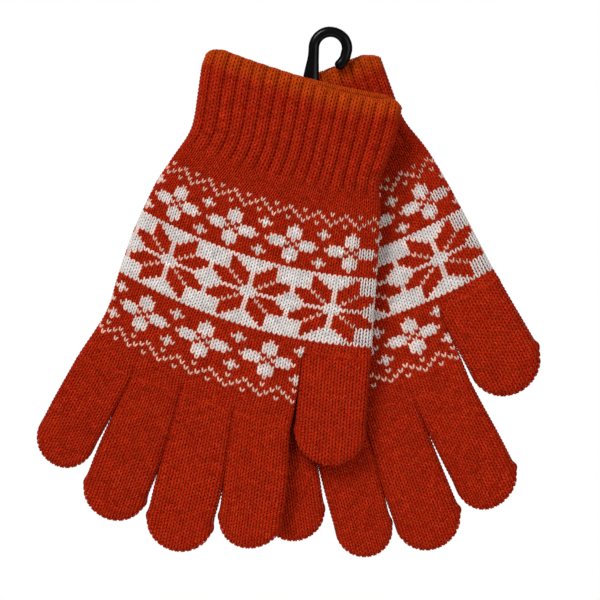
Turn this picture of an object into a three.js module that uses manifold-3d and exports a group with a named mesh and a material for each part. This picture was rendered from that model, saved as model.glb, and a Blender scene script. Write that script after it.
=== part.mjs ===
// A pair of one-size knitted gloves pinned by their cuffs to a plastic hanging hook.
//
// Millimetres, +Z up. The origin is the seat of the hook: the inner top of its crook, where it
// rests on a rail. X runs across the gloves and Y runs through them: the front glove lies at
// negative Y, the back glove at positive Y, and the hook hangs between the two.
//
// Each glove is laid out in its own plane first, in u (across, towards the thumb) and v (up,
// towards the cuff), measured from the tag pin. It is then leaned about the pin and set back.

import * as THREE from 'three';
import { mergeVertices } from 'three/addons/utils/BufferGeometryUtils.js';
import Module from 'manifold-3d';

const wasm = await Module();
wasm.setup();

const DEG = Math.PI / 180;

// ---------------------------------------------------------------- driving dimensions

const CLEARANCE = 0.6;             // between any two fabric parts that move past each other

const HOOK = {
  rod: 4,                          // round section of the crook
  loop: 10,                        // clear width inside the crook
  plateThickness: 3.4,             // flat stem and plate below the crook
  plateWidth: 13,
  plateBottom: -36,
};
const PIN = {
  x: -7.8, z: -26.6,                 // where the tag pin goes through the hook's plate
  shaft: 1.2,                      // diameters
  hole: 2,
  bar: 1.4, barLength: 9,          // T-bar, caught inside the front glove's cuff
  head: 5.6, headThickness: 1,     // round head, caught inside the back glove's cuff
  reach: 6.1,                      // from the hook's middle to the middle of bar and head
};
// Its thumb side and its mouth were pressed differently in the front and in the back glove.
const CUFF = {
  left: -45.4, right: [37.2, 34],  // at the waist, the narrowest stretch, in u
  waist: -22, bottom: -35.6,       // in v
  top: [7.2, 5.8],
  topLeft: -48.2, topRight: [37.6, 34.2],
  bottomLeft: -50, bottomRight: 38.9,
  topRise: 2.4,                    // how far the mouth's corners stand above its middle
  thickness: 10, opening: 5,       // over the ribs, and the clear gap inside
  ribs: 16, ribDepth: 0.9,         // ribs across one face
  setBack: 7.4,                    // from the hook's middle plane to the cuff's own
};
const HAND = {
  thickness: 7.2, setBack: 5.6,
  pocket: 4.4, pocketBottom: -94, pocketMargin: 6,
};
const FINGER = { thickness: 5.6, setBack: 4.7 };

// Knuckle line: all four fingers fold about axes parallel to it.
const KNUCKLE = { u: -69.4, v: -129.9, slope: -5 };

// left and right: the finger's root on the knuckle line. lean: from straight down, positive
// towards the thumb, in the front and the back glove. width: just before the round tip.
const FINGERS = [
  { name: 'little_finger', left: -69.4, right: -45.5, lean: [-13.6, -11.2], length: 45, width: 24.5 },
  { name: 'ring_finger', left: -45.5, right: -23.9, lean: [-6.4, -4], length: 58.8, width: 24.2 },
  { name: 'middle_finger', left: -23.9, right: -0.2, lean: [1.4, 0], length: 62.8, width: 25.6 },
  { name: 'index_finger', left: -0.2, right: 24.4, lean: [6.5, 5], length: 52.6, width: 24.8 },
];
const THUMB = {
  name: 'thumb', u: 36, v: -102.2, lean: [9.4, 8.5], length: 45.6, root: 28.2, width: 28.6,
};

// side: -1 in front of the hook, +1 behind it. lean: of the whole glove about the pin, in
// degrees about +Y. shift: how far off its twin's the pin is.
const GLOVES = [
  { name: 'front', side: -1, lean: 14, shift: [0, 0] },
  { name: 'back', side: 1, lean: -19.5, shift: [-1.2, 2.5] },
];

const COLOURS = { knit: 0xa8290c, plastic: 0x0b0b0c, pin: 0xe9e9e6 };

// ---------------------------------------------------------------- solids

function toManifold(geometry) {
  const bare = geometry.clone();
  bare.deleteAttribute('normal');
  bare.deleteAttribute('uv');
  const merged = mergeVertices(bare, 1e-4);
  const mesh = new wasm.Mesh({
    numProp: 3,
    vertProperties: new Float32Array(merged.attributes.position.array),
    triVerts: new Uint32Array(merged.index.array),
  });
  return new wasm.Manifold(mesh);
}

function toGeometry(manifold) {
  const mesh = manifold.getMesh();
  const geometry = new THREE.BufferGeometry();
  geometry.setAttribute('position', new THREE.BufferAttribute(mesh.vertProperties, 3));
  geometry.setIndex(new THREE.BufferAttribute(mesh.triVerts, 1));
  return geometry;
}

// A flat pad of an outline drawn in u and v, with rounded edges, lying in the XZ plane.
function pad(shape, thickness, segments = 3) {
  const flat = 0.4;
  const edge = (thickness - flat) / 2;
  const geometry = new THREE.ExtrudeGeometry(shape, {
    depth: flat,
    curveSegments: 8,
    bevelSegments: segments,
    bevelThickness: edge,
    bevelSize: edge,
    bevelOffset: -edge,
  });
  return geometry.translate(0, 0, -flat / 2).rotateX(90 * DEG);
}

function cylinderAlongY(diameter, from, to, x = 0, z = 0) {
  const cylinder = new THREE.CylinderGeometry(diameter / 2, diameter / 2, to - from, 16);
  return cylinder.translate(x, (from + to) / 2, z);
}

// ---------------------------------------------------------------- hanging hook and tag pin

function crookCurve() {
  const radius = (HOOK.loop + HOOK.rod) / 2;
  const centre = -HOOK.loop / 2;
  const points = [new THREE.Vector3(-radius, 0, centre - 8)];
  for (let angle = 180; angle >= 0; angle -= 22.5) {
    points.push(new THREE.Vector3(
      radius * Math.cos(angle * DEG), 0, centre + radius * Math.sin(angle * DEG)));
  }
  points.push(new THREE.Vector3(radius - 0.9, 0, centre - 3.9));
  points.push(new THREE.Vector3(radius - 3.1, 0, centre - 6.8));
  return new THREE.CatmullRomCurve3(points);
}

function hookPlateShape() {
  const inner = -HOOK.loop / 2;
  const outer = inner - HOOK.rod;
  const top = -HOOK.loop / 2 - 2;
  const half = HOOK.plateWidth / 2;
  const round = HOOK.plateBottom + half;
  const shape = new THREE.Shape();
  shape.moveTo(inner - 0.3, top);
  shape.lineTo(inner - 0.3, -18);
  shape.quadraticCurveTo(inner, -23, PIN.x + half, round);
  shape.absarc(PIN.x, round, half, 0, Math.PI, true);
  shape.lineTo(outer + 0.3, top);
  shape.closePath();
  return shape;
}

function hangerHook() {
  const section = new THREE.Shape();
  section.absarc(0, 0, HOOK.rod / 2, 0, 2 * Math.PI);
  const curve = crookCurve();
  const crook = new THREE.ExtrudeGeometry(section, {
    extrudePath: curve, steps: 32, curveSegments: 12, bevelEnabled: false,
  });
  const tip = curve.getPoint(1);
  const ball = new THREE.SphereGeometry(HOOK.rod / 2, 14, 10).translate(tip.x, tip.y, tip.z);
  const plate = pad(hookPlateShape(), HOOK.plateThickness, 2);
  const hole = cylinderAlongY(PIN.hole, -HOOK.rod, HOOK.rod, PIN.x, PIN.z);
  const solid = toManifold(crook).add(toManifold(ball)).add(toManifold(plate));
  return toGeometry(solid.subtract(toManifold(hole)));
}

function tagPin() {
  const shaft = cylinderAlongY(PIN.shaft, -PIN.reach, PIN.reach);
  const bar = new THREE.CapsuleGeometry(PIN.bar / 2, PIN.barLength - PIN.bar, 3, 10)
    .rotateZ(90 * DEG).translate(0, -PIN.reach, 0);
  const half = PIN.headThickness / 2;
  const head = cylinderAlongY(PIN.head, PIN.reach - half, PIN.reach + half);
  const solid = toManifold(shaft).add(toManifold(bar)).add(toManifold(head));
  return toGeometry(solid).translate(PIN.x, 0, PIN.z);
}

// ---------------------------------------------------------------- one glove

// One side of the cuff's section: a row of ribs, each a shallow bulge.
function ribRow(shape, from, to, level, bulge) {
  const rib = (to - from) / (CUFF.ribs - 1);
  for (let i = 1; i < CUFF.ribs; i += 1) {
    const end = from + i * rib;
    shape.quadraticCurveTo(end - rib / 2, level + 2 * bulge, end, level);
  }
}

// The wall's section at the waist, about the cuff's own middle. The mouth follows the ribs.
function cuffSection(half) {
  const groove = CUFF.thickness / 2 - CUFF.ribDepth;
  const gap = CUFF.opening / 2;
  const straight = half - groove;
  const shape = new THREE.Shape();
  shape.moveTo(-straight, -groove);
  ribRow(shape, -straight, straight, -groove, -CUFF.ribDepth);
  shape.absarc(straight, 0, groove, -90 * DEG, 90 * DEG);
  ribRow(shape, straight, -straight, groove, CUFF.ribDepth);
  shape.absarc(-straight, 0, groove, 90 * DEG, 270 * DEG);
  const mouth = new THREE.Path();
  mouth.moveTo(-straight, -gap);
  mouth.absarc(-straight, 0, gap, 270 * DEG, 90 * DEG, true);
  ribRow(mouth, -straight, straight, gap, CUFF.ribDepth / 3);
  mouth.absarc(straight, 0, gap, 90 * DEG, -90 * DEG, true);
  ribRow(mouth, straight, -straight, -gap, -CUFF.ribDepth / 3);
  shape.holes.push(mouth);
  return shape;
}

// The cuff's two edges flare out from the waist, evenly upwards and ever faster downwards.
function cuffEdge(v, heightAbove, top, waist, bottom) {
  const above = Math.max(0, (v - CUFF.waist) / heightAbove);
  const below = Math.max(0, (CUFF.waist - v) / (CUFF.waist - CUFF.bottom));
  return waist + (top - waist) * above + (bottom - waist) * below ** 2;
}

function cuffGeometry(which) {
  const top = CUFF.top[which];
  const heightAbove = top - CUFF.waist;
  const half = (CUFF.right[which] - CUFF.left) / 2;
  const tube = new THREE.ExtrudeGeometry(cuffSection(half), {
    depth: top - CUFF.bottom, steps: 4, curveSegments: 3, bevelEnabled: false,
  });
  tube.translate(0, 0, CUFF.bottom);
  const position = tube.attributes.position;
  for (let i = 0; i < position.count; i += 1) {
    const across = position.getX(i) / half;
    const v = position.getZ(i);
    const above = Math.max(0, (v - CUFF.waist) / heightAbove);
    const left = cuffEdge(v, heightAbove, CUFF.topLeft, CUFF.left, CUFF.bottomLeft);
    const right = cuffEdge(
      v, heightAbove, CUFF.topRight[which], CUFF.right[which], CUFF.bottomRight);
    position.setX(i, (left + right) / 2 + across * (right - left) / 2);
    position.setZ(i, v + CUFF.topRise * above * across * across);
  }
  return tube;
}

// The knuckle line's height at u, and the directions that a leaning finger is drawn in.
const knuckle = (u) => KNUCKLE.v + (u - KNUCKLE.u) * Math.tan(KNUCKLE.slope * DEG);
const downOf = (lean) => new THREE.Vector2(Math.sin(lean * DEG), -Math.cos(lean * DEG));
const acrossOf = (lean) => new THREE.Vector2(Math.cos(lean * DEG), Math.sin(lean * DEG));

// A finger from its two root corners to its round tip.
function fingerShape(rootLeft, rootRight, lean, length, width) {
  const tipDepth = width * 0.49;
  const root = rootLeft.clone().add(rootRight).multiplyScalar(0.5);
  const centre = root.clone().addScaledVector(downOf(lean), length - tipDepth);
  const side = acrossOf(lean).multiplyScalar(width / 2);
  const shape = new THREE.Shape();
  shape.moveTo(rootRight.x, rootRight.y);
  shape.lineTo(centre.x + side.x, centre.y + side.y);
  shape.absellipse(centre.x, centre.y, width / 2, tipDepth, 0, Math.PI, true, lean * DEG);
  shape.lineTo(rootLeft.x, rootLeft.y);
  shape.closePath();
  return shape;
}

function fingerGeometry(finger, lean) {
  const gap = 0.4;
  const left = finger.left + gap;
  const right = finger.right - gap;
  const rootLeft = new THREE.Vector2(left, knuckle(left) - CLEARANCE);
  const rootRight = new THREE.Vector2(right, knuckle(right) - CLEARANCE);
  const shape = fingerShape(rootLeft, rootRight, lean, finger.length, finger.width);
  return pad(shape, FINGER.thickness);
}

function thumbCorners(drop, lean) {
  const across = acrossOf(lean);
  const centre = new THREE.Vector2(THUMB.u, THUMB.v).addScaledVector(downOf(lean), drop);
  return [
    centre.clone().addScaledVector(across, -THUMB.root / 2),
    centre.clone().addScaledVector(across, THUMB.root / 2),
  ];
}

function thumbGeometry(lean) {
  const [left, right] = thumbCorners(CLEARANCE, lean);
  return pad(fingerShape(left, right, lean, THUMB.length, THUMB.width), FINGER.thickness);
}

// The hand: from the wrist down to the knuckle line, with the slot that the thumb lies in.
function handShape(thumbLean) {
  const wrist = CUFF.bottom - CLEARANCE;
  const [thumbLeft, thumbRight] = thumbCorners(0, thumbLean);
  const slotEnd = FINGERS[3].right;
  const slotCorner = new THREE.Vector2(slotEnd - 0.4, knuckle(slotEnd));
  const shape = new THREE.Shape();
  shape.moveTo(CUFF.bottomLeft, wrist);
  shape.quadraticCurveTo(-58.5, -62, -60.6, -90);
  shape.quadraticCurveTo(-61.5, -110, KNUCKLE.u, KNUCKLE.v);
  shape.lineTo(slotCorner.x, slotCorner.y);
  shape.lineTo(thumbLeft.x - CLEARANCE, thumbLeft.y);
  shape.lineTo(thumbRight.x, thumbRight.y);
  shape.quadraticCurveTo(43.8, -62, CUFF.bottomRight, wrist);
  shape.closePath();
  return shape;
}

function handGeometry(thumbLean) {
  const margin = HAND.pocketMargin;
  const left = CUFF.left;
  const right = CUFF.bottomRight;
  const middle = (left + right) / 2;
  const bottom = HAND.pocketBottom;
  const hollow = new THREE.Shape();
  hollow.moveTo(left + margin, CUFF.bottom + margin);
  hollow.lineTo(right - margin, CUFF.bottom + margin);
  hollow.lineTo(right, bottom + 2 * margin);
  hollow.quadraticCurveTo(right, bottom, middle, bottom);
  hollow.quadraticCurveTo(left - margin, bottom, left - margin, bottom + 2 * margin);
  hollow.closePath();
  const body = toManifold(pad(handShape(thumbLean), HAND.thickness));
  return toGeometry(body.subtract(toManifold(pad(hollow, HAND.pocket, 2))));
}

// ---------------------------------------------------------------- assembly

const pair = new THREE.Group();

function addPart(parent, name, geometry, colour, roughness) {
  const material = new THREE.MeshStandardMaterial({ color: colour, roughness, metalness: 0 });
  const mesh = new THREE.Mesh(geometry, material);
  mesh.name = name;
  parent.add(mesh);
  return mesh;
}

// The cuff, with the hole that the tag pin goes through in the wall that faces the hook.
function cuffWithHole(glove, which) {
  const [shiftU, shiftV] = glove.shift;
  const near = CUFF.thickness / 2 + 1;
  const hole = cylinderAlongY(PIN.hole, Math.min(0, -glove.side * near),
    Math.max(0, -glove.side * near), -shiftU, -shiftV);
  return toGeometry(toManifold(cuffGeometry(which)).subtract(toManifold(hole)));
}

function addGlove(glove, which) {
  const [shiftU, shiftV] = glove.shift;
  const lean = new THREE.Group();
  lean.position.set(PIN.x, 0, PIN.z);
  lean.rotation.y = glove.lean * DEG;
  const layer = (part) => new THREE.Vector3(shiftU, glove.side * part.setBack, shiftV);
  const place = (name, geometry, part) => {
    addPart(lean, `${glove.name}_${name}`, geometry, COLOURS.knit, 0.95)
      .position.copy(layer(part));
  };
  place('cuff', cuffWithHole(glove, which), CUFF);
  place('hand', handGeometry(THUMB.lean[which]), HAND);
  place('thumb', thumbGeometry(THUMB.lean[which]), FINGER);
  for (const finger of FINGERS) {
    place(finger.name, fingerGeometry(finger, finger.lean[which]), FINGER);
  }
  pair.add(lean);
}

addPart(pair, 'hanger_hook', hangerHook(), COLOURS.plastic, 0.25);
addPart(pair, 'tag_pin', tagPin(), COLOURS.pin, 0.5);
GLOVES.forEach(addGlove);

export default pair;
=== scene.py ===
"""A pair of five-fingered Fair Isle gloves, fanned out on a black plastic hanging hook.

Every stitch is modelled: two yarn legs laid on the glove's surface. A surface is a function of
(column, row), counted in stitches. Lengths are millimetres until to_world() turns them to metres.
In a glove's own plane u runs across towards the thumb and v up towards the cuff, from the pin.
"""

import math
from collections import namedtuple

import bpy
import numpy as np
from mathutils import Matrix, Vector


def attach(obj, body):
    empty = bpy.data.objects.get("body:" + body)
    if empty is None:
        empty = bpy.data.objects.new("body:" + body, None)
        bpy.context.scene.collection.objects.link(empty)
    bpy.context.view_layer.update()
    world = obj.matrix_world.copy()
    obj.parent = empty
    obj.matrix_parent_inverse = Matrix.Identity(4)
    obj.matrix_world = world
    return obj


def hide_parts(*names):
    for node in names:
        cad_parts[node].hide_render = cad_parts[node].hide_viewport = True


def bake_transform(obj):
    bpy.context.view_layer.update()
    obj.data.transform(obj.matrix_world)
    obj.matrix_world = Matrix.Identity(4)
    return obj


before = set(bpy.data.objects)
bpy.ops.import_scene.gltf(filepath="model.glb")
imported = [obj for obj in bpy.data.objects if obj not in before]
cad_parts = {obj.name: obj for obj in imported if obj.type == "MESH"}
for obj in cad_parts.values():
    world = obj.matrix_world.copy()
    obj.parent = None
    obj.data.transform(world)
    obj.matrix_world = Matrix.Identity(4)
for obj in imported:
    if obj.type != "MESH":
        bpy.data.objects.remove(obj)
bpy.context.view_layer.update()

MM = 0.001
PIN = (-7.8, -26.6)                      # the tag pin, world X and Z

GLOVES = (
    {"name": "front", "side": -1, "lean": 14.0, "shift": (0.0, 0.0), "which": 0},
    {"name": "back", "side": 1, "lean": -19.5, "shift": (-1.2, 2.5), "which": 1},
)

# The glove's outline: u of each edge against v, from the mouth down to the knuckles.
LEFT_EDGE = ((12, -47.0), (5, -48.1), (-7, -46.8), (-20, -45.4), (-26, -45.7), (-36.6, -50.0),
             (-49.7, -54.8), (-71, -58.9), (-90, -60.6), (-106, -61.2), (-114, -63.6),
             (-120.4, -66.1), (-130, -69.6))
RIGHT_EDGE = (((12, 36.8), (-5, 37.7), (-16, 36.7), (-28, 34.9), (-37, 38.6), (-60, 42.9),
               (-86, 47.3), (-100, 50.1), (-106, 51.2)),
              ((12, 34.0), (-6, 34.0), (-23, 34.2), (-32, 37.5), (-37, 39.4), (-51, 42.4),
               (-66, 44.8), (-76, 46.2), (-94, 48.7), (-108, 52.0)))
SLOT_EDGE = ((12, 20.0), (-36, 20.3), (-60, 21.8), (-83, 23.4), (-104, 21.8), (-114, 22.9),
             (-125, 23.6), (-139, 24.2))
KNUCKLE = {"u": -69.4, "v": -129.9, "slope": math.tan(math.radians(-5))}

# Columns and rows, counted from the middle star and from the first patterned row.
FIRST_COLUMN, SLOT_COLUMN, LAST_COLUMN = -25.1, 13.4, 24.1
MOUTH_ROW, INSIDE_ROW, CUFF_END_ROW, THUMB_ROW, PATTERN_END_ROW, KNUCKLE_ROW = (
    -32, -35, -5, 39, 53, 62)
ROW = 1.505                              # height of a row of the hand
CUFF_ROW = 1.68

# How far the columns drift towards the little finger, mm, from row to row.
ROW_DRIFT = ((-6, 0.0), (0, 0.8), (10, 1.5), (18, 0.4), (32, 0.5), (40, 1.7), (53, 1.8), (62, 0.0))
DRIFT_SHARE = ((-25.1, 0.0), (-17.5, 1.0), (-5.5, 0.8), (6.5, -0.25), (13.4, 0.0))
CUFF_SHIFT = 1.2                         # the ribs lean towards the thumb
RIB_COLUMNS = 3                          # two that stand up and one that sinks

# Half the glove's thickness, and how far its middle is from the hook's, from row to row.
HALF_THICKNESS = ((-32, 4.1), (-8, 4.1), (0, 3.6), (12, 3.2), (40, 3.1), (62, 2.75))
SET_BACK = ((-32, 7.4), (-8, 7.4), (2, 6.2), (14, 5.6), (40, 5.4), (62, 4.7))
MOUTH_RISE = (7.1, 6.4)                  # how far the mouth stands above the pin, front and back
NEAR_MOUTH_DROP = (2.6, 1.0)             # how much lower its near face sags

ALL_COLUMNS = np.arange(-25, 25)
PALM_COLUMNS = np.arange(-25, 15)        # below the thumb
HIDDEN_ROWS = 8                          # rows of stitches from the mouth inwards
HIDDEN_LINING_ROWS = 28                  # rows of plain wall from the mouth inwards
THUMB_SPLIT = THUMB_ROW + 0.49           # below this row the thumb is a piece of its own
SPLIT_GAP = 0.005                        # between the linings above and below it
SPLIT_WRAP = 0.7                         # columns that turn round the palm's edge below it
PLAIN_ROW = 37                           # the thumb's root has no pattern from here on
STRETCHED_COLUMN = 18.5                  # white stitches beyond it are pulled thin

# "swell" is how far each edge, left then right, stands out half way along and at the tip, on
# the front glove and then on the back one. "ear" is the small corner where the tip is closed.
FINGERS = (
    {"name": "little_finger", "left": -69.4, "right": -45.5, "lean": (-13.6, -11.2),
     "length": 45.0, "width": 24.6, "ear": (0.0, 0.4),
     "swell": (((0.3, 0.0), (-0.2, -1.2)), ((0.3, 0.0), (0.3, 0.0)))},
    {"name": "ring_finger", "left": -45.5, "right": -23.9, "lean": (-6.4, -4.0),
     "length": 58.8, "width": 24.4, "ear": (0.5, 0.5),
     "swell": (((1.0, 1.1), (1.2, 0.0)), ((0.2, -0.6), (0.4, -1.6)))},
    {"name": "middle_finger", "left": -23.9, "right": -0.2, "lean": (1.4, 0.0),
     "length": 62.8, "width": 25.8, "ear": (0.6, 1.0),
     "swell": (((0.6, 0.6), (1.3, 0.0)), ((0.4, 0.0), (0.0, 1.0)))},
    {"name": "index_finger", "left": -0.2, "right": 24.4, "lean": (6.5, 5.0),
     "length": 52.6, "width": 25.0, "ear": (0.5, 1.0),
     "swell": (((0.1, -0.8), (1.2, 1.0)), ((0.0, -1.6), (0.7, 1.8)))},
)
THUMB = {"name": "thumb", "u": 36.0, "v": -102.2, "lean": (9.4, 8.5), "length": 45.6,
         "root": 28.4, "width": 28.6, "ear": (0.5, 1.0),
         "swell": (((0.0, 0.0), (0.0, 0.0)), ((0.0, 0.0), (0.2, 1.0)))}
FINGER_COLUMNS = 6                       # each side of a finger's middle
FINGER_ROW = 1.57                        # height of a row of a finger
FINGER_HALF_THICKNESS = 2.75
FINGER_SET_BACK = 4.7                    # from the hook's middle to the finger's
TIP_SHARE = 0.49                         # depth of the round tip, over the finger's width
THUMB_LIFT = 0.65                        # how much further out from the hook its root lies

# ---------------------------------------------------------------- colourwork chart

FLOWER = (
    ".....X.....",
    "....XXX....",
    "....XXX....",
    "....XXX....",
    ".XXX.X.XXX.",
    "XXXXX.XXXXX",
    ".XXX.X.XXX.",
    "....XXX....",
    "....XXX....",
    "....XXX....",
    ".....X.....",
)
PLUS = (".X.", "XXX", ".X.")
# Half the star band, from its edge to its middle row, and from a star's middle column outwards.
STAR = (
    "XXXXXXXXX",
    "XXXX.XXXX",
    "XXX..XXXX",
    "XX...XXXX",
    "X....XXXX",
    "X...X...X",
    "X..X....X",
    "X.X....XX",
    "XX....XXX",
    "XXXXXXXXX",
)
ZIGZAG = ((1, 4), (3, 5), (2, 0), (1, 4))    # white columns of each row, in sixes
ZIGZAG_TOPS = (0, 50)
FLOWER_PLACES = ((5, -30), (38, -29))    # the top row and first middle column of each line
FLOWER_STEP = 12
STAR_TOP, STAR_ROWS, STAR_STEP = 17, 19, 16
CHART_LEFT = -30
CHART = np.zeros((54, 60), bool)


def stamp(picture, top, middle):
    """Draws a small picture into the chart, centred on a column."""
    for i, line in enumerate(picture):
        for j, mark in enumerate(line):
            column = middle - len(line) // 2 + j - CHART_LEFT
            if mark == "X" and 0 <= column < CHART.shape[1]:
                CHART[top + i, column] = True


def draw_chart():
    """Two zigzags, two lines of flowers with crosses between them, and a band of stars."""
    columns = np.arange(CHART.shape[1]) + CHART_LEFT
    past_edge = CHART_LEFT + CHART.shape[1] + len(FLOWER) // 2
    for top in ZIGZAG_TOPS:
        for i, marks in enumerate(ZIGZAG):
            CHART[top + i] |= np.isin(columns % 6, marks)
    for top, first in FLOWER_PLACES:
        for middle in range(first, past_edge, FLOWER_STEP):
            stamp(FLOWER, top, middle)
            for plus_top in (top, top + len(FLOWER) - len(PLUS)):
                stamp(PLUS, plus_top, middle + FLOWER_STEP // 2)
    half_step = STAR_STEP // 2
    fold = np.abs((columns + half_step) % STAR_STEP - half_step)
    for i in range(STAR_ROWS):
        half_row = STAR[min(i, STAR_ROWS - 1 - i)]
        CHART[STAR_TOP + i] = [half_row[k] == "X" for k in fold]


draw_chart()


def chart_at(columns, rows):
    """1 where the stitch at each column and row is white."""
    j = np.clip(columns - CHART_LEFT, 0, CHART.shape[1] - 1)
    i = np.clip(rows, 0, CHART.shape[0] - 1)
    return np.where((rows >= 0) & (rows < CHART.shape[0]), CHART[i, j], False).astype(float)


# ---------------------------------------------------------------- surfaces

def curve(points, v):
    """A smooth curve through a few (v, u) points."""
    known_v, known_u = np.array(points, float)[::-1].T
    return sum(np.interp(v + step, known_v, known_u) for step in (-4, -2, 0, 2, 4)) / 5


def along(profile, row):
    """A measure that changes from row to row, or from column to column."""
    return np.interp(row, *zip(*profile))


def smooth(t):
    """Rises from 0 to 1 with a soft start and end."""
    t = np.clip(t, 0, 1)
    return t * t * (3 - 2 * t)


def knuckle(u):
    """v of the knuckle line."""
    return KNUCKLE["v"] + (u - KNUCKLE["u"]) * KNUCKLE["slope"]


def to_world(glove, u, v, y):
    """From a place in the glove's own plane, and a depth, to metres in the frame."""
    lean = math.radians(glove["lean"])
    u, v = u + glove["shift"][0], v + glove["shift"][1]
    x = PIN[0] + u * math.cos(lean) + v * math.sin(lean)
    z = PIN[1] - u * math.sin(lean) + v * math.cos(lean)
    return np.stack([x, y + 0 * x, z], axis=-1) * MM


def rounded(x, left, right, radius):
    """Wraps a flat position round the two side edges: its u, and its share of the thickness."""
    near_left = np.clip((left + radius - x) / radius, 0, math.pi / 2)
    near_right = np.clip((x - right + radius) / radius, 0, math.pi / 2)
    u = np.clip(x, left + radius, right - radius)
    u = u - radius * np.sin(near_left) + radius * np.sin(near_right)
    return u, np.cos(near_left) * np.cos(near_right)


WRAP = math.pi / 2 - 1                   # extra width that a rounded edge takes, over its radius


def rib_angle(c):
    return 2 * math.pi * (c - 0.5) / RIB_COLUMNS


def rib_relief(c, r):
    """How far the ribs stand up, and how strong they are: they fade out towards the wrist."""
    fade = smooth((CUFF_END_ROW - r) / 4) * smooth((r - INSIDE_ROW - 0.5) / 3)
    wave = 0.5 + 0.5 * np.cos(rib_angle(c))
    return 1.75 * fade * (wave ** 0.85 - 0.55), fade


def over_mouth(r):
    """0 outside the cuff, 1 where the knit has turned over the mouth to the inside."""
    return np.clip((MOUTH_ROW - r) / (MOUTH_ROW - INSIDE_ROW), 0, 1)


def body_surface(glove, face):
    """One face of the glove from inside the cuff, over the mouth and down to the knuckles."""
    which = glove["which"]
    side = glove["side"]

    def height(r, u):
        """v of a row, which bows across the glove and ends along the knuckle line."""
        mouth = MOUTH_RISE[which]
        if face < 0:
            sag = smooth((u + 16) / 26) * smooth((36 - u) / 9)
            mouth = mouth - NEAR_MOUTH_DROP[which] * sag
        vertex = np.interp(r, [-32, 0, 53], [2, 0, 8])
        bow = np.interp(r, [-32, -5, 53], [0.0015, 0.0024, 0.0021])
        v = np.interp(r, [MOUTH_ROW, CUFF_END_ROW, 0, PATTERN_END_ROW],
                      [0, -38.0, -45.5, -45.5 - PATTERN_END_ROW * ROW])
        v = v + mouth * np.clip((CUFF_END_ROW - r) / (CUFF_END_ROW - MOUTH_ROW), 0, 1)
        v = v + bow * (u - vertex) ** 2
        v = v + 0.9 * np.sin(over_mouth(r) * math.pi)
        v = v - np.clip(INSIDE_ROW - r, 0, None) * CUFF_ROW
        to_knuckle = np.clip((r - PATTERN_END_ROW) / (KNUCKLE_ROW - PATTERN_END_ROW), 0, 1.3)
        return v * (1 - to_knuckle) + knuckle(u) * to_knuckle

    def surface(c, r):
        c = np.clip(c, FIRST_COLUMN, LAST_COLUMN)
        wall = 1.1 * (1 - np.cos(over_mouth(r) * math.pi))
        thick = along(HALF_THICKNESS, r) - wall
        middle = along(SET_BACK, r)
        relief, ribbed = rib_relief(c, r)
        inside = smooth((c - FIRST_COLUMN) / 2) * smooth((LAST_COLUMN - c) / 2)
        spread = c + 0.2 * ribbed * inside * np.sin(rib_angle(c))
        drift = along(ROW_DRIFT, r) * along(DRIFT_SHARE, c)
        cuff_shift = CUFF_SHIFT * smooth((1 - r) / 6)
        below_thumb = r >= THUMB_SPLIT
        spread = np.where(below_thumb, np.clip(spread, None, SLOT_COLUMN + SPLIT_WRAP), spread)
        u = np.zeros_like(c + r)
        for _ in range(3):
            v = height(r, u)
            left = curve(LEFT_EDGE, v) + wall
            slot = curve(SLOT_EDGE, v)
            right = np.where(below_thumb, slot, curve(RIGHT_EDGE[which], v) - wall)
            flat_left = left - WRAP * thick
            share = (spread - FIRST_COLUMN) / (SLOT_COLUMN - FIRST_COLUMN)
            x = flat_left + share * (slot - flat_left)
            x = x - drift + cuff_shift * np.sin(math.pi * np.clip(share, 0, 1) ** 0.8)
            beyond = (spread - SLOT_COLUMN) / (LAST_COLUMN - SLOT_COLUMN)
            x = np.where(spread > SLOT_COLUMN,
                         slot + np.clip(beyond, 0, None) * (right + WRAP * thick - slot), x)
            x = np.where(below_thumb & (spread > SLOT_COLUMN - 1),
                         slot + (spread - SLOT_COLUMN) / SPLIT_WRAP * WRAP * thick, x)
            u, share_y = rounded(x, left, right, thick)
        corner = 2.9 * np.clip(1 - (u - left) / 6, 0, 1) ** 2
        corner = corner + 3.4 * np.clip(1 - (right - u) / 8, 0, 1) ** 2
        v = height(r, u) - corner * smooth((-25 - r) / 6)
        v = v + 0.3 * relief * smooth((-29 - r) / 3)
        crotch = np.min([np.abs(u - f["left"]) for f in FINGERS[1:]], axis=0)
        groove = smooth((r - KNUCKLE_ROW + 6) / 5) * np.clip(1 - crotch / 2.4, 0, 1) ** 1.5
        bulge = 0.35 * np.clip(1 - (2 * (u - left) / (right - left) - 1) ** 2, 0, 1)
        wave = 0.25 * np.sin(u / 17 + v / 23) + 0.2 * np.sin(v / 11 - u / 31)
        wave = wave * (1 - smooth((r - 48) / 12))
        y = thick * share_y * (1 - 0.7 * groove) + (relief + bulge) * share_y
        return to_world(glove, u, v, side * middle + face * y + wave * share_y)

    return surface


def lean_of(finger, which):
    return math.radians(finger["lean"][which])


def root_corners(finger, which):
    """The two ends of the line that a finger starts from."""
    if finger is THUMB:
        lean = lean_of(finger, which)
        across = np.array([math.cos(lean), math.sin(lean)])
        centre = np.array([finger["u"], finger["v"]])
        half = finger["root"] / 2
        return centre - across * half, centre + across * half
    left = np.array([finger["left"], knuckle(finger["left"])])
    right = np.array([finger["right"], knuckle(finger["right"])])
    return left, right


def finger_rows(finger):
    """Rows before the tip starts to round, and in all."""
    straight = (finger["length"] - TIP_SHARE * finger["width"]) / FINGER_ROW
    return straight - 3, round(straight - 3) + 11


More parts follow.
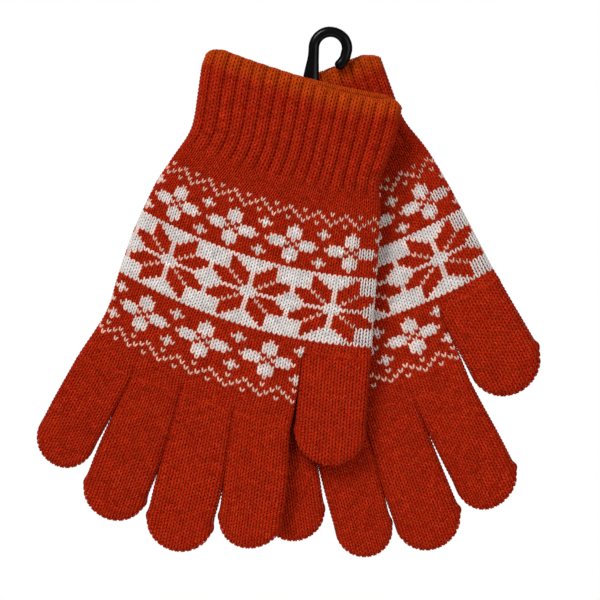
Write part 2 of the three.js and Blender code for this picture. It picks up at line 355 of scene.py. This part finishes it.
def finger_surface(glove, finger, face):
    """One face of a finger or thumb, from just above its root to the round tip."""
    which = glove["which"]
    root_left, root_right = root_corners(finger, which)
    lean = lean_of(finger, which)
    tip_depth = TIP_SHARE * finger["width"]
    straight = finger["length"] - tip_depth
    down = np.array([math.sin(lean), -math.cos(lean)])
    across = np.array([math.cos(lean), math.sin(lean)])
    centre = (root_left + root_right) / 2 + down * straight
    ends = (centre - across * finger["width"] / 2, centre + across * finger["width"] / 2)
    before_tip, last_row = finger_rows(finger)
    lift = THUMB_LIFT if finger is THUMB else 0.0

    def surface(c, r):
        raised = 1 - smooth(r / 9)
        thick = FINGER_HALF_THICKNESS + 0.15 * lift * raised
        flat = np.clip(c / FINGER_COLUMNS, -1, 1)
        to_tip = np.clip((r - before_tip) / (last_row - before_tip), 0, 1)
        distance = np.minimum(r, before_tip) * FINGER_ROW
        half = np.interp(distance, [0, straight],
                         [np.linalg.norm(root_right - root_left) / 2, finger["width"] / 2])
        x, share_y = rounded(flat * (half + WRAP * thick), -half, half, thick)
        reach = np.clip(distance / straight, 0, 1)
        swelling = [middle * np.sin(math.pi * reach ** 1.3) + tip * reach ** 2
                    for middle, tip in finger["swell"][which]]
        end = straight + tip_depth * np.sqrt(np.clip(1 - (x / half) ** 2, 0, 1))
        distance = distance * (1 - to_tip) + end * to_tip
        reach = np.clip(distance / straight, -0.2, 1)[..., None]
        left = root_left + (ends[0] - root_left) * reach
        right = root_right + (ends[1] - root_right) * reach
        point = (left + right) / 2 + (right - left) * (x / (2 * half))[..., None]
        swelling = np.where(x < 0, -swelling[0], swelling[1]) * np.abs(x / half) ** 1.5
        ear = finger["ear"][which] * np.exp(-((distance - straight) / 1.6) ** 2)
        ear = ear * ((x > 0) | (which == 0))
        swelling = swelling + ear * np.sign(x) * np.abs(x / half) ** 8
        point = point + across * swelling[..., None]
        point = point + down * np.clip(distance - straight, 0, None)[..., None]
        closing = np.clip(1 - (end - distance) / 4.2, 0, 1)
        sunk = np.clip(-r, 0, 2) * 0.25
        bulge = 0.35 + 0.3 * smooth(r / 8) * (1 - np.clip(x / half, -1, 1) ** 2)
        y = (thick - sunk + bulge) * share_y * np.sqrt(np.clip(1 - closing ** 2, 0, 1))
        wave = 0.22 * np.sin(distance / 9 + finger["length"]) * np.clip(r / 8, 0, 1)
        return to_world(glove, point[..., 0], point[..., 1],
                        glove["side"] * (FINGER_SET_BACK + lift * raised) + face * y + wave)

    return surface


# ---------------------------------------------------------------- stitches

STATIONS, RING = 4, 4                    # points along a leg, and over its rounded top
LINING_DEPTH = 0.12

Part = namedtuple("Part", "points faces uv values")


def leg_template(hand):
    """One leg of a stitch: across (columns), width, down (rows), height (mm), and the painted
    shade where it lies deep.
    """
    t = np.linspace(0, 1, STATIONS)[:, None]
    turn = np.linspace(0, math.pi, RING)[None, :]
    fat = np.sin(math.pi * (0.13 + 0.74 * t)) ** 0.6
    across = hand * (0.115 + 0.26 * t) + 0 * turn
    width = -0.225 * fat * np.cos(turn) * hand
    down = 0.72 - 1.36 * t + 0 * turn
    height = 0.60 * np.sin(math.pi * (0.20 + 0.62 * t)) - 0.30 + 0.46 * fat * np.sin(turn)
    # Painted shade: darkest at the leg's sides, where it dips between its neighbours, and at its
    # ends; least on its crest.
    painted_shade = 1 - np.sin(turn) ** 0.7 * (0.45 + 0.55 * np.sin(math.pi * (0.14 + 0.72 * t)))
    return [a.ravel() for a in np.broadcast_arrays(across, width, down, height, painted_shade)]


def grid_faces(rows, columns):
    """Quads that join a grid of points."""
    grid = np.arange(rows * columns).reshape(rows, columns)
    corners = (grid[:-1, :-1], grid[1:, :-1], grid[1:, 1:], grid[:-1, 1:])
    return np.stack([k.ravel() for k in corners], axis=1)


def normals(surface, c, r, face):
    """Outward directions, from the surface a fifth of a stitch to each side."""
    step = 0.2
    across = surface(c + step, r) - surface(c - step, r)
    down = surface(c, r + step) - surface(c, r - step)
    n = np.cross(across, down) * face
    length = np.linalg.norm(n, axis=-1, keepdims=True)
    return n / np.maximum(length, 1e-12)


def rib_groove_shade(c, r):
    """Painted shade for a stitch that lies deep between two ribs of the cuff."""
    relief, fade = rib_relief(c, r)
    return np.clip(0.1 - 0.4 * relief, 0, 0.45) * fade


def finger_crease_shade(c, r):
    """Painted shade for stitches at a finger's sides, which lie in the crease between two fingers.
    """
    return 1.1 * np.clip(np.abs(c / FINGER_COLUMNS), 0, 1) ** 9


def stitch_part(surface, face, columns, rows, white, stain_and_mouth_light, extra_painted_shade, rng):
    """The left and then the right legs of the stitches at these columns and rows."""
    count = len(columns)
    jitter = rng.normal(0, 0.02, (count, 2))
    tone = rng.normal(0, 1, count)
    stretched = (columns > STRETCHED_COLUMN) & (white > 0)
    thin = 1 - 0.22 * (stain_and_mouth_light >= 0.6) * white - 0.3 * stretched
    parts = []
    for leg, hand in enumerate((-1, 1)):
        across, width, down, height, painted_shade = leg_template(hand)
        c = columns[:, None] + across[None] + width[None] * thin[:, None] + jitter[:, :1]
        r = rows[:, None] + down[None] + jitter[:, 1:]
        p = surface(c, r) + normals(surface, c, r, face) * (height * MM)[None, :, None]
        faces = grid_faces(STATIONS, RING)
        if face * hand > 0:
            faces = faces[:, ::-1]
        size = STATIONS * RING
        faces = faces[None] + (np.arange(count) * size)[:, None, None]
        step = np.tile(np.linspace(0, 1, RING), STATIONS)
        length = np.repeat(np.linspace(0, 1, STATIONS), RING)
        cell_u = (columns - columns.min())[:, None] + 0.05 + 0.42 * step + 0.48 * leg
        cell_v = (rows - rows.min())[:, None] + 0.05 + 0.9 * length
        uv = np.stack(np.broadcast_arrays(cell_u, cell_v), axis=-1)
        values = {
            "white": np.repeat(white, size),
            "stain_and_mouth_light": np.repeat(stain_and_mouth_light, size),
            "tone": np.repeat(tone, size) + np.tile(rng.normal(0, 0.4, size), count),
            # Painted shade: the leg's own, plus that of the rib grooves or the finger creases.
            "painted_shade": np.tile(painted_shade, count) + extra_painted_shade(c, r).ravel(),
        }
        parts.append(Part(p.reshape(-1, 3), faces.reshape(-1, 4), uv.reshape(-1, 2), values))
    return parts


def lining_part(surface, face, columns, rows, white_at):
    """The cloth behind the stitches, in quads of about half a stitch."""
    c, r = np.meshgrid(columns, rows)
    n = normals(surface, c, r, face)
    p = surface(c, r) - n * LINING_DEPTH * MM
    faces = grid_faces(*c.shape)
    if face < 0:
        faces = faces[:, ::-1]
    uv = np.stack([c - columns.min(), r - rows.min()], axis=-1)
    values = {
        "white": white_at(c, r).ravel(),
        "stain_and_mouth_light": np.zeros(c.size),
        "tone": np.zeros(c.size),
        # Painted shade: the lining is darkened fully, as it lies in shade behind the stitches.
        "painted_shade": np.full(c.size, 1.0),
    }
    return [Part(p.reshape(-1, 3), faces, uv.reshape(-1, 2), values)]


def pack_uvs(parts):
    """Puts each part's UVs in a column of its own."""
    placed = []
    for k, part in enumerate(parts):
        low = part.uv.min(axis=0)
        span = np.maximum(part.uv.max(axis=0) - low, 1e-6)
        unit = (part.uv - low) / span * 0.98 + 0.01
        placed.append(np.stack([(unit[:, 0] + k) / len(parts), unit[:, 1]], axis=1))
    return placed


def put_in_scene(name, data):
    holder = bpy.data.objects.new(name, data)
    bpy.context.scene.collection.objects.link(holder)
    return holder


def shade_smooth(mesh):
    mesh.polygons.foreach_set("use_smooth", np.ones(len(mesh.polygons), bool))


def knitted_piece(name, parts, replaced):
    """Joins parts into one piece of yarn with its attributes and its UV map."""
    uvs = np.concatenate(pack_uvs(parts))
    offset, faces = 0, []
    for part in parts:
        faces.append(part.faces + offset)
        offset += len(part.points)
    faces = np.concatenate(faces)
    points = np.concatenate([part.points for part in parts])
    mesh = bpy.data.meshes.new(name)
    mesh.from_pydata(points.tolist(), [], faces.tolist())
    for key in ("white", "stain_and_mouth_light", "tone", "painted_shade"):
        attribute = mesh.attributes.new(key, "FLOAT", "POINT")
        values = np.concatenate([part.values[key] for part in parts]).astype(np.float32)
        attribute.data.foreach_set("value", values)
    layer = mesh.uv_layers.new(name="OFBake")
    loop_vertices = np.empty(len(mesh.loops), np.int32)
    mesh.loops.foreach_get("vertex_index", loop_vertices)
    layer.data.foreach_set("uv", uvs[loop_vertices].astype(np.float32).ravel())
    shade_smooth(mesh)
    mesh.materials.append(YARN)
    mesh.update()
    piece = put_in_scene(name, mesh)
    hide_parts(replaced)
    return piece


# ---------------------------------------------------------------- materials

def new_material(name):
    material = bpy.data.materials.new(name)
    material.use_nodes = True
    tree = material.node_tree
    return material, tree, tree.nodes["Principled BSDF"]


def add_node(tree, kind, **values):
    node = tree.nodes.new(kind)
    for key, value in values.items():
        setattr(node, key, value)
    return node


def attribute_of(tree, name):
    return add_node(tree, "ShaderNodeAttribute", attribute_name=name).outputs["Fac"]


def feed(tree, socket, value):
    """Gives a socket another node's output, or a plain value."""
    if hasattr(value, "is_output"):
        tree.links.new(value, socket)
    else:
        socket.default_value = value


def mix_colour(tree, share, first, second, blend="MIX"):
    mix = add_node(tree, "ShaderNodeMix", data_type="RGBA", blend_type=blend)
    for index, value in ((0, share), (6, first), (7, second)):
        feed(tree, mix.inputs[index], value)
    return mix.outputs[2]


def maths(tree, operation, *values, clamp=False):
    node = add_node(tree, "ShaderNodeMath", operation=operation, use_clamp=clamp)
    for socket, value in zip(node.inputs, values):
        feed(tree, socket, value)
    return node.outputs[0]


def noise(tree, scale, detail, place):
    node = add_node(tree, "ShaderNodeTexNoise")
    node.inputs["Scale"].default_value = scale
    node.inputs["Detail"].default_value = detail
    tree.links.new(place, node.inputs["Vector"])
    return node.outputs["Fac"]


def grey(tree, value):
    combine = add_node(tree, "ShaderNodeCombineColor")
    for name in ("Red", "Green", "Blue"):
        tree.links.new(value, combine.inputs[name])
    return combine.outputs[0]


def add_bump(tree, shader, height, strength, distance):
    bump = add_node(tree, "ShaderNodeBump")
    bump.inputs["Strength"].default_value = strength
    bump.inputs["Distance"].default_value = distance
    tree.links.new(height, bump.inputs["Height"])
    tree.links.new(bump.outputs["Normal"], shader.inputs["Normal"])


def yarn_material():
    """Two-colour acrylic yarn: matt, fuzzy, a little different from stitch to stitch, with painted
    shade in its hollows and creases and painted light near the cuff's mouth.
    """
    material, tree, shader = new_material("knit_yarn")
    place = add_node(tree, "ShaderNodeTexCoord").outputs["Object"]
    white = attribute_of(tree, "white")
    orange_tone = mix_colour(tree, noise(tree, 90, 3, place),
                             (0.33, 0.0055, 0.0008, 1), (0.42, 0.0125, 0.0016, 1))
    fleck = maths(tree, "MULTIPLY", noise(tree, 1700, 3, place), 2.6)
    fleck = maths(tree, "SUBTRACT", fleck, 1.15, clamp=True)
    orange_tone = mix_colour(tree, fleck, orange_tone, (0.60, 0.072, 0.015, 1))
    # Painted light: orange stitches turn lighter towards the cuff's mouth. On white stitches the
    # same attribute is the stain of orange neighbours.
    orange_tone = mix_colour(tree, attribute_of(tree, "stain_and_mouth_light"), orange_tone,
                             (0.52, 0.058, 0.004, 1))
    white_tone = mix_colour(tree, attribute_of(tree, "stain_and_mouth_light"),
                            (0.75, 0.72, 0.70, 1), (0.88, 0.40, 0.26, 1))
    colour = mix_colour(tree, white, orange_tone, white_tone)
    fibre = noise(tree, 2600, 3, place)
    lift = maths(tree, "MULTIPLY_ADD", attribute_of(tree, "tone"), 0.085, 0.86)
    lift = maths(tree, "ADD", lift, maths(tree, "MULTIPLY", fibre, 0.28))
    colour = mix_colour(tree, 1.0, colour, grey(tree, lift), "MULTIPLY")
    # Painted shade: stitches' hollows, rib grooves, finger creases and the lining are darkened
    # towards a shade tint, reddish for orange yarn and lilac grey for white.
    depth = maths(tree, "MULTIPLY", attribute_of(tree, "painted_shade"), 0.62, clamp=True)
    shade = mix_colour(tree, white, (0.44, 0.27, 0.20, 1), (0.62, 0.55, 0.56, 1))
    shade = mix_colour(tree, depth, (1, 1, 1, 1), shade)
    colour = mix_colour(tree, 1.0, colour, shade, "MULTIPLY")
    tree.links.new(colour, shader.inputs["Base Color"])
    shader.inputs["Roughness"].default_value = 0.92
    shader.inputs["Specular IOR Level"].default_value = 0.04
    shader.inputs["Sheen Weight"].default_value = 0.05
    shader.inputs["Sheen Roughness"].default_value = 0.5
    shader.inputs["Sheen Tint"].default_value = (1.0, 0.35, 0.12, 1)
    add_bump(tree, shader, fibre, 0.5, 0.12 * MM)
    return material


def hook_material():
    """Moulded black plastic: glossy, with a faint ripple and rubbed patches."""
    material, tree, shader = new_material("hook_plastic")
    place = add_node(tree, "ShaderNodeTexCoord").outputs["Object"]
    colour = mix_colour(tree, noise(tree, 300, 3, place), (0.002, 0.002, 0.002, 1),
                        (0.005, 0.005, 0.005, 1))
    tree.links.new(colour, shader.inputs["Base Color"])
    shader.inputs["Specular IOR Level"].default_value = 0.16
    rough = maths(tree, "MULTIPLY_ADD", noise(tree, 700, 4, place), 0.16, 0.14)
    tree.links.new(rough, shader.inputs["Roughness"])
    add_bump(tree, shader, noise(tree, 220, 2, place), 0.12, 0.2 * MM)
    return material


def pin_material():
    """Natural nylon: milky, half gloss."""
    material, tree, shader = new_material("pin_nylon")
    place = add_node(tree, "ShaderNodeTexCoord").outputs["Object"]
    colour = mix_colour(tree, noise(tree, 900, 3, place), (0.66, 0.66, 0.63, 1),
                        (0.80, 0.80, 0.78, 1))
    tree.links.new(colour, shader.inputs["Base Color"])
    shader.inputs["Roughness"].default_value = 0.38
    return material


# ---------------------------------------------------------------- glove pieces

YARN = yarn_material()


def charted_yarn(c, r):
    """Which stitches are white, and how strongly orange neighbours stain each of them."""
    white = chart_at(c, r) * ((c < SLOT_COLUMN) | (r < PLAIN_ROW))
    around = sum(chart_at(c + dc, r + dr) for dc, dr in ((1, 0), (-1, 0), (0, 1), (0, -1)))
    return white, np.clip(0.2 * (4 - around), 0, 0.8) * white


def orange_yarn(c, r):
    """No white stitches; painted light makes the tone lighter and more orange towards the mouth of
    the cuff.
    """
    return np.zeros(c.size), smooth((-26.5 - r) / 5)


def charted_lining(c, r):
    nearest = chart_at(np.rint(c).astype(int), np.rint(r).astype(int))
    plain = (c > SLOT_COLUMN) & (r > PLAIN_ROW - 0.5)
    return np.where(plain, 0, np.where(c > STRETCHED_COLUMN, 0.15, 0.8)) * nearest


def orange_lining(c, r):
    return np.zeros((c + r).shape)


def stitches_on(surface, face, columns, rows, yarn, extra_painted_shade, rng):
    """Stitches on a rectangle of columns and rows."""
    c, r = [a.ravel() for a in np.meshgrid(columns, rows)]
    white, stain_and_mouth_light = yarn(c, r)
    return stitch_part(surface, face, c.astype(float), r.astype(float), white, stain_and_mouth_light,
                       extra_painted_shade, rng)


def body_lining(surface, face, first_row, last_row, last_column, white_at):
    columns = np.arange(FIRST_COLUMN, last_column + 0.01, (last_column - FIRST_COLUMN) / 80)
    rows = np.linspace(first_row, last_row, int(2 * (last_row - first_row)) + 1)
    return lining_part(surface, face, columns, rows, white_at)


def add_cuff(glove, rng):
    name = glove["name"]
    parts = []
    for face in (-1, 1):
        surface = body_surface(glove, face)
        rows = np.arange(MOUTH_ROW - HIDDEN_ROWS, CUFF_END_ROW)
        parts += stitches_on(surface, face, ALL_COLUMNS, rows, orange_yarn, rib_groove_shade, rng)
        parts += body_lining(surface, face, MOUTH_ROW - HIDDEN_LINING_ROWS, CUFF_END_ROW,
                             LAST_COLUMN, orange_lining)
    piece = knitted_piece(f"{name}_ribbed_cuff", parts, f"{name}_cuff")
    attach(piece, f"{name} cuff")


def add_hand(glove, rng):
    """Each face of the hand is a piece: full width down to the thumb, narrower below it."""
    name = glove["name"]
    for face, label in ((-1, "front"), (1, "rear")):
        surface = body_surface(glove, face)
        upper = np.arange(CUFF_END_ROW, THUMB_ROW + 1)
        lower = np.arange(THUMB_ROW + 1, KNUCKLE_ROW)
        parts = stitches_on(surface, face, ALL_COLUMNS, upper, charted_yarn, rib_groove_shade, rng)
        parts += stitches_on(surface, face, PALM_COLUMNS, lower, charted_yarn, rib_groove_shade, rng)
        parts += body_lining(surface, face, CUFF_END_ROW - 0.5, THUMB_SPLIT - SPLIT_GAP,
                             LAST_COLUMN, charted_lining)
        parts += body_lining(surface, face, THUMB_SPLIT, KNUCKLE_ROW,
                             SLOT_COLUMN + SPLIT_WRAP, charted_lining)
        piece = knitted_piece(f"{name}_hand_{label}_knit", parts, f"{name}_hand")
        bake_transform(piece)


def add_finger(glove, finger, rng):
    """A finger or thumb, whose knit runs on a short way below its root, a little sunk there."""
    name = glove["name"]
    label = finger["name"]
    _, last_row = finger_rows(finger)
    columns = np.arange(-FINGER_COLUMNS, FINGER_COLUMNS) + 0.5
    rows = np.arange(-1, last_row) + 0.5
    parts = []
    for face in (-1, 1):
        surface = finger_surface(glove, finger, face)
        parts += stitches_on(surface, face, columns, rows, orange_yarn, finger_crease_shade, rng)
        fine_columns = np.linspace(-FINGER_COLUMNS, FINGER_COLUMNS, 25)
        fine_rows = np.linspace(-1, last_row, 2 * last_row + 3)
        parts += lining_part(surface, face, fine_columns, fine_rows, orange_lining)
    piece = knitted_piece(f"{name}_{label}_knit", parts, f"{name}_{label}")
    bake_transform(piece)


# ---------------------------------------------------------------- hook and pin

ROD_RADIUS = 2.25
CROOK = 7.0                              # radius of the crook's middle line
CROOK_MIDDLE = -4.8                      # its centre's height
HOOK_RING = 24                           # points round the rod
# Below the crook: x, z, half width and half depth, down to the foot of the hidden plate.
STEM = ((-7.1, -7.5, 2.3, 2.1), (-7.35, -10, 2.5, 2.0), (-7.7, -13, 2.9, 1.9),
        (-8.1, -16.5, 3.3, 1.8), (-8.2, -19, 3.5, 1.7), (-8.0, -21.5, 4.5, 1.7),
        (-7.8, -24, 5.7, 1.7), (-7.8, -26.5, 6.4, 1.7), (-7.8, -29.5, 6.5, 1.7),
        (-7.8, -32, 5.7, 1.7), (-7.8, -34, 4.3, 1.7), (-7.8, -35.2, 2.6, 1.6))


def hook_sections():
    """Places along the hook, each with its direction, half width and half depth."""
    path, sizes = [], []
    for x, z in ((3.9, -11.8), (5.0, -10.6), (6.1, -8.9)):
        path.append((x, z))
        sizes.append((ROD_RADIUS, ROD_RADIUS))
    for k in range(25):
        angle = math.radians(-5 + k * 185 / 24)
        path.append((CROOK * math.cos(angle), CROOK_MIDDLE + CROOK * math.sin(angle)))
        sizes.append((ROD_RADIUS, ROD_RADIUS))
    for x, z, width, depth in STEM:
        path.append((x, z))
        sizes.append((width, depth))
    path, sizes = np.array(path), np.array(sizes)
    way = np.gradient(path, axis=0)
    way /= np.linalg.norm(way, axis=1, keepdims=True)
    tip = [(path[0] + way[0] * 2 * back, way[0], sizes[0] * small)
           for back, small in ((-0.95, 0.32), (-0.75, 0.66), (-0.4, 0.92))]
    foot = [(path[-1] + way[-1] * 0.8, way[-1], sizes[-1] * 0.5)]
    return tip + list(zip(path, way, sizes)) + foot


def slightly_square(wave):
    return np.sign(wave) * np.abs(wave) ** 0.85


def add_hook():
    """The hook, swept from the crook's tip to the foot of its plate."""
    around = np.linspace(0, 2 * math.pi, HOOK_RING, endpoint=False)
    ring = list(zip(slightly_square(np.cos(around)), slightly_square(np.sin(around))))
    sections = hook_sections()
    points, faces = [], []
    for at, forward, (width, depth) in sections:
        sideways = np.array([-forward[1], forward[0]])
        for a, b in ring:
            spot = at + sideways * width * a
            points.append((spot[0] * MM, depth * b * MM, spot[1] * MM))
    n = HOOK_RING
    for i in range(len(sections) - 1):
        for k in range(n):
            m = (k + 1) % n
            faces.append((i * n + k, i * n + m, (i + 1) * n + m, (i + 1) * n + k))
    faces.append(tuple(range(n))[::-1])
    faces.append(tuple((len(sections) - 1) * n + k for k in range(n)))
    mesh = bpy.data.meshes.new("black_hanger_hook")
    mesh.from_pydata(points, [], faces)
    shade_smooth(mesh)
    mesh.materials.append(hook_material())
    piece = put_in_scene("black_hanger_hook", mesh)
    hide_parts("hanger_hook")
    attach(piece, "hook")


def dress_pin():
    """The pin keeps its CAD shape and gets its material."""
    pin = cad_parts["tag_pin"]
    pin.data.materials.clear()
    pin.data.materials.append(pin_material())


# ---------------------------------------------------------------- camera, light, floor

VIEW_WIDTH = 0.252                       # metres across the picture, at the gloves
CAMERA_DISTANCE = 4.0
LIGHT_TARGET = (-0.01, 0, -0.11)
FLOOR_HALF, FLOOR_HEIGHT = 0.42, -0.30


def add_camera():
    camera = bpy.data.cameras.new("camera")
    camera.sensor_width = 36
    camera.lens = camera.sensor_width * CAMERA_DISTANCE / VIEW_WIDTH
    camera.clip_end = 50
    holder = put_in_scene("camera", camera)
    holder.location = (-0.0128, -CAMERA_DISTANCE - 0.004, -0.1106)
    holder.rotation_euler = (math.radians(90), 0, 0)
    bpy.context.scene.camera = holder


def add_area(name, place, size, power):
    light = bpy.data.lights.new(name, "AREA")
    light.shape = "DISK"
    light.size = size
    light.energy = power
    holder = put_in_scene(name, light)
    holder.location = place
    aim = Vector(LIGHT_TARGET) - Vector(place)
    holder.rotation_euler = aim.to_track_quat("-Z", "Y").to_euler()


def add_world():
    """White as a backdrop, dim as a light, and dimmer still in glossy reflections."""
    world = bpy.data.worlds.new("studio")
    bpy.context.scene.world = world
    world.use_nodes = True
    tree = world.node_tree
    background = tree.nodes["Background"]
    ray = add_node(tree, "ShaderNodeLightPath")
    strength = maths(tree, "MULTIPLY_ADD", ray.outputs["Is Camera Ray"], 0.68, 0.32)
    dimmed = maths(tree, "MULTIPLY", ray.outputs["Is Glossy Ray"], 0.26)
    strength = maths(tree, "SUBTRACT", strength, dimmed)
    background.inputs["Color"].default_value = (1, 1, 1, 1)
    tree.links.new(strength, background.inputs["Strength"])


def add_floor():
    floor = bpy.data.meshes.new("floor")
    half, low = FLOOR_HALF, FLOOR_HEIGHT
    corners = [(-half, -half, low), (half, -half, low), (half, half, low), (-half, half, low)]
    floor.from_pydata(corners, [], [(0, 1, 2, 3)])
    material, _, shader = new_material("floor")
    shader.inputs["Base Color"].default_value = (0.86, 0.86, 0.85, 1)
    shader.inputs["Roughness"].default_value = 0.8
    floor.materials.append(material)
    holder = put_in_scene("floor", floor)


def add_surroundings():
    add_world()
    add_area("key", (-0.7, -1.1, 0.9), 0.7, 19)
    add_area("fill", (0.9, -1.3, 0.1), 1.0, 5.5)
    add_area("back", (0.3, 1.2, 0.8), 0.8, 9)
    add_floor()
    bpy.context.scene.view_settings.view_transform = "Standard"


# ---------------------------------------------------------------- the whole scene

add_camera()
for glove in GLOVES:
    rng = np.random.default_rng(7 + glove["which"])
    add_cuff(glove, rng)
    add_hand(glove, rng)
    for finger in FINGERS + (THUMB,):
        add_finger(glove, finger, rng)
add_hook()
dress_pin()
add_surroundings()
